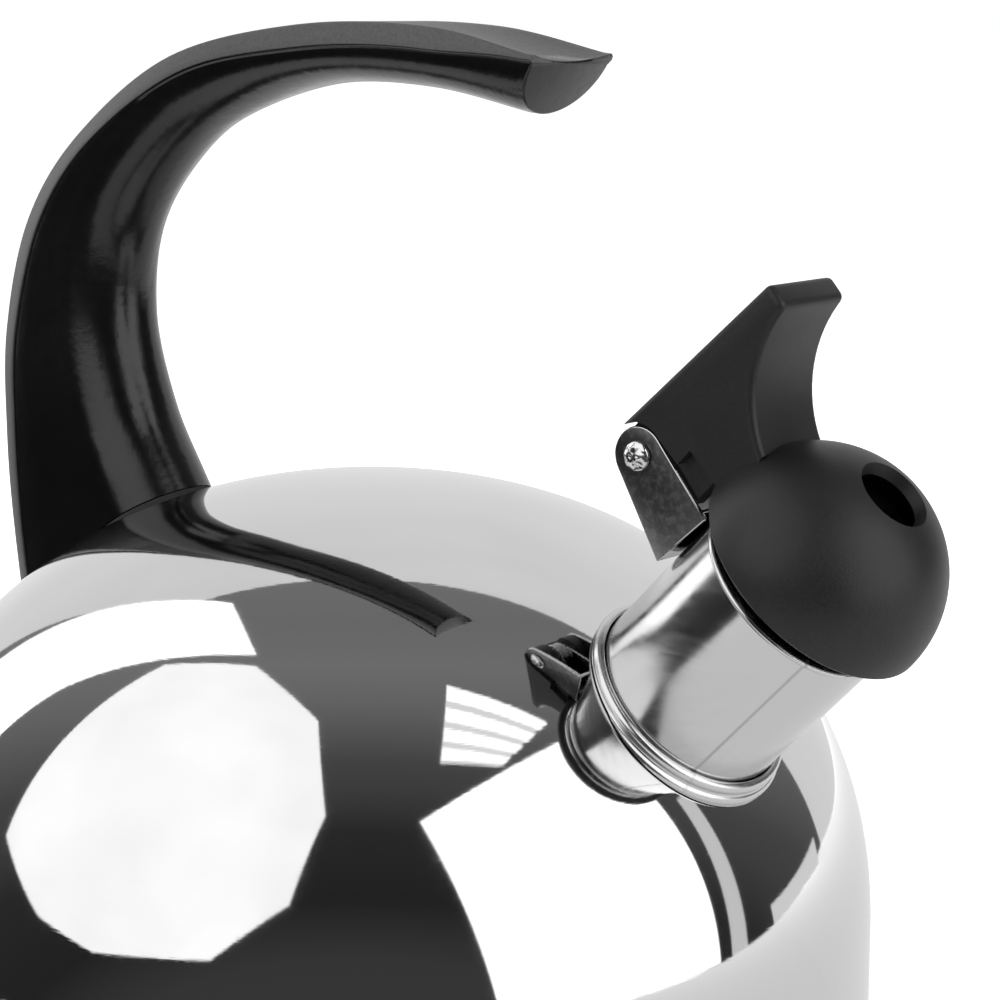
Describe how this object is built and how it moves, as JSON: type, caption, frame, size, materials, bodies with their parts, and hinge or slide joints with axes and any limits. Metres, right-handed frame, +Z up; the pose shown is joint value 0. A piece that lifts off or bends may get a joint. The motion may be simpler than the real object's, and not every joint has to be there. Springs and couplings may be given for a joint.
{
  "type": "stovetop whistling kettle",
  "caption": "Dome-bodied steel stovetop kettle with an open C-shaped handle, a straight slanted spout and a sprung whistle cap opened by a finger lever.",
  "frame": {"origin": "centre of the base's underside, on the body's axis", "axes": "+Z up along the body's axis, +X towards the spout, -X towards the handle's foot"},
  "size_m": [0.2497, 0.22, 0.2366],
  "materials": {
    "polished_steel": "mirror-polished stainless steel",
    "plain_steel": "plain stainless steel",
    "aluminium": "machined",
    "spring_steel": "drawn wire",
    "phenolic": "moulded, glossy, softly sanded edge",
    "cap_plastic": "moulded, fine matte grain",
    "heat_pad": "matte"
  },
  "bodies": {
    "kettle": {"body_shell": "polished_steel", "base_pan": "polished_steel", "base_core": "aluminium", "base_capsule": "polished_steel", "spout_tube": "polished_steel", "spout_collar": "polished_steel", "hinge_bracket": "polished_steel", "hinge_rivet": "polished_steel", "hinge_sleeve": "plain_steel", "hinge_spring": "spring_steel", "handle_grip": "phenolic", "handle_bracket": "plain_steel", "handle_gasket": "heat_pad", "handle_screw_lower": "plain_steel", "handle_screw_upper": "plain_steel", "handle_washer_lower": "plain_steel", "handle_washer_upper": "plain_steel"},
    "cap": {"whistle_cap": "cap_plastic", "whistle_plate": "plain_steel", "whistle_chamber": "plain_steel", "whistle_top_disc": "plain_steel", "whistle_screw_near": "plain_steel", "whistle_screw_far": "plain_steel"}
  },
  "joints": [
    {"name": "cap_hinge", "type": "hinge", "parent": "kettle", "child": "cap", "pos_m": [0.08027, 0, 0.1547], "axis": [0, -1, 0], "range_deg": [0, 70], "stiffness_Nm_per_rad": 0.12, "springref_deg": -34.38, "deforming": ["hinge_spring"]}
  ]
}
